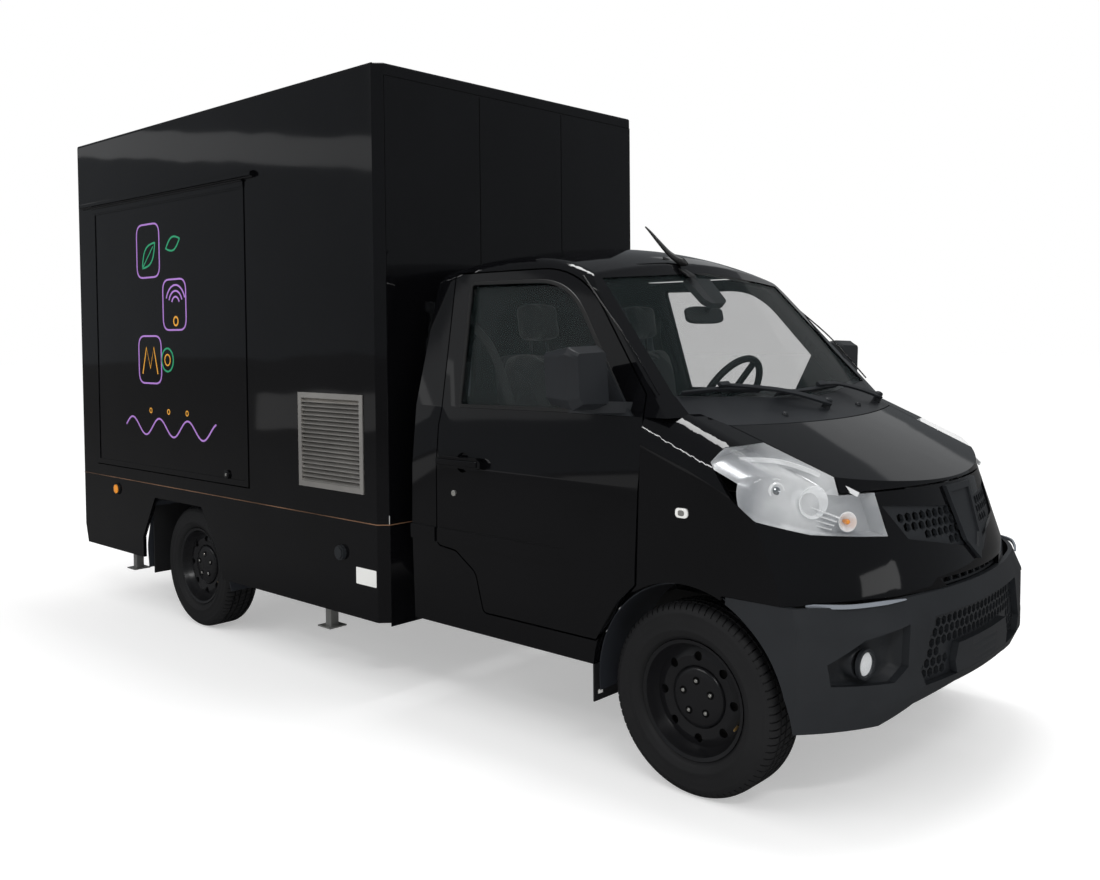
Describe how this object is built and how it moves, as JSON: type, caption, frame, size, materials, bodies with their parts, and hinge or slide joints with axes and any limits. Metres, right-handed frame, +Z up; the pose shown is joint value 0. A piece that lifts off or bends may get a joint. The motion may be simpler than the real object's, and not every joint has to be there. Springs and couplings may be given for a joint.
{
  "type": "food truck",
  "caption": "Compact light truck with a closed box body that sells from a top-hung side hatch, with opening doors, hood, drop legs and steered, rolling wheels.",
  "frame": {"origin": "on the ground, under the middle of the overall length and width", "axes": "+X forward, +Y to the vehicle's left, +Z up"},
  "size_m": [4.9239, 1.9996, 2.6],
  "materials": {
    "body_black": "gloss",
    "box_black": "gloss",
    "frame_black": "satin",
    "dark_plastic": "matte",
    "trim_metal": "satin",
    "bare_steel": "worn",
    "cast": "rough",
    "tyre_rubber": "matte",
    "flap_rubber": "matte",
    "clear_glass": "clear",
    "lamp_glass": "clear",
    "lamp_red": "gloss",
    "seat_cloth": "woven",
    "inner_plastic": "matte",
    "box_lining": "matte"
  },
  "bodies": {
    "chassis": {"front_suspension": "frame_black", "rear_axle": "cast", "leaf_springs": "bare_steel", "chassis_frame": "frame_black", "box_subframe": "frame_black", "engine_block": "cast", "drive_line": "bare_steel", "fuel_tank": "frame_black", "exhaust": "bare_steel", "box_floor": "box_lining", "box_roof": "box_black", "box_wall_left": "box_black", "box_wall_right": "box_black", "box_wall_front": "box_black", "box_wall_rear": "box_black", "skirts": "box_black", "drip_rail": "box_black", "vent_grille": "trim_metal", "inlet_cap": "dark_plastic", "rear_guard": "frame_black", "rear_lamps": "lamp_red", "mud_flaps": "flap_rubber", "cab_shell": "body_black", "cab_glass": "clear_glass", "cowl": "dark_plastic", "wings": "body_black", "front_lamps": "lamp_glass", "front_panel": "body_black", "front_grilles": "dark_plastic", "bumper": "dark_plastic", "front_structure": "frame_black", "seats": "seat_cloth", "dashboard": "inner_plastic", "steering_wheel": "dark_plastic"},
    "hood": {"hood": "body_black"},
    "door_left": {"door_left": "body_black", "door_glass_left": "clear_glass", "mirror_left": "dark_plastic"},
    "door_right": {"door_right": "body_black", "door_glass_right": "clear_glass", "mirror_right": "dark_plastic"},
    "hatch": {"hatch": "box_black"},
    "entry_door": {"entry_door": "box_black"},
    "knuckle_left": {"knuckle_left": "cast"},
    "knuckle_right": {"knuckle_right": "cast"},
    "wheel_front_left": {"tyre_front_left": "tyre_rubber", "rim_front_left": "frame_black"},
    "wheel_front_right": {"tyre_front_right": "tyre_rubber", "rim_front_right": "frame_black"},
    "wheel_rear_left": {"tyre_rear_left": "tyre_rubber", "rim_rear_left": "frame_black"},
    "wheel_rear_right": {"tyre_rear_right": "tyre_rubber", "rim_rear_right": "frame_black"},
    "drop_leg_front_left": {"drop_leg_front_left": "bare_steel"},
    "drop_leg_front_right": {"drop_leg_front_right": "bare_steel"},
    "drop_leg_rear_left": {"drop_leg_rear_left": "bare_steel"},
    "drop_leg_rear_right": {"drop_leg_rear_right": "bare_steel"}
  },
  "joints": [
    {"name": "steer_left", "type": "hinge", "parent": "chassis", "child": "knuckle_left", "pos_m": [1.8125, 0.63, 0.19], "axis": [0, -0.1564, 0.9877], "range_deg": [-33, 33]},
    {"name": "steer_right", "type": "hinge", "parent": "chassis", "child": "knuckle_right", "pos_m": [1.8125, -0.63, 0.19], "axis": [0, 0.1564, 0.9877], "range_deg": [-33, 33]},
    {"name": "door_right_hinge", "type": "hinge", "parent": "chassis", "child": "door_right", "pos_m": [1.6035, -0.7955, 0.88], "axis": [0, 0, 1], "range_deg": [0, 65]},
    {"name": "door_left_hinge", "type": "hinge", "parent": "chassis", "child": "door_left", "pos_m": [1.6035, 0.7955, 0.88], "axis": [0, 0, -1], "range_deg": [0, 65]},
    {"name": "hood_hinge", "type": "hinge", "parent": "chassis", "child": "hood", "pos_m": [1.8425, 0, 1.2], "axis": [0, -1, 0], "range_deg": [0, 45]},
    {"name": "hatch_hinge", "type": "hinge", "parent": "chassis", "child": "hatch", "pos_m": [-1.4525, -0.849, 2.224], "axis": [-1, 0, 0], "range_deg": [0, 95]},
    {"name": "entry_door_hinge", "type": "hinge", "parent": "chassis", "child": "entry_door", "pos_m": [-2.4345, 0.4735, 1.55], "axis": [0, 0, -1], "range_deg": [0, 110]},
    {"name": "wheel_front_left_spin", "type": "hinge", "parent": "knuckle_left", "child": "wheel_front_left", "pos_m": [1.8125, 0.6975, 0.312], "axis": [0, 1, 0], "continuous": true},
    {"name": "wheel_rear_left_spin", "type": "hinge", "parent": "chassis", "child": "wheel_rear_left", "pos_m": [-1.2575, 0.6975, 0.312], "axis": [0, 1, 0], "continuous": true},
    {"name": "wheel_front_right_spin", "type": "hinge", "parent": "knuckle_right", "child": "wheel_front_right", "pos_m": [1.8125, -0.6975, 0.312], "axis": [0, 1, 0], "continuous": true},
    {"name": "wheel_rear_right_spin", "type": "hinge", "parent": "chassis", "child": "wheel_rear_right", "pos_m": [-1.2575, -0.6975, 0.312], "axis": [0, 1, 0], "continuous": true},
    {"name": "drop_leg_front_left_slide", "type": "slide", "parent": "chassis", "child": "drop_leg_front_left", "axis": [0, 0, -1], "range_m": [0, 0.195]},
    {"name": "drop_leg_front_right_slide", "type": "slide", "parent": "chassis", "child": "drop_leg_front_right", "axis": [0, 0, -1], "range_m": [0, 0.195]},
    {"name": "drop_leg_rear_left_slide", "type": "slide", "parent": "chassis", "child": "drop_leg_rear_left", "axis": [0, 0, -1], "range_m": [0, 0.195]},
    {"name": "drop_leg_rear_right_slide", "type": "slide", "parent": "chassis", "child": "drop_leg_rear_right", "axis": [0, 0, -1], "range_m": [0, 0.195]}
  ],
  "couplings": [
    {"joint": "steer_right", "follows": "steer_left", "ratio": 1}
  ]
}
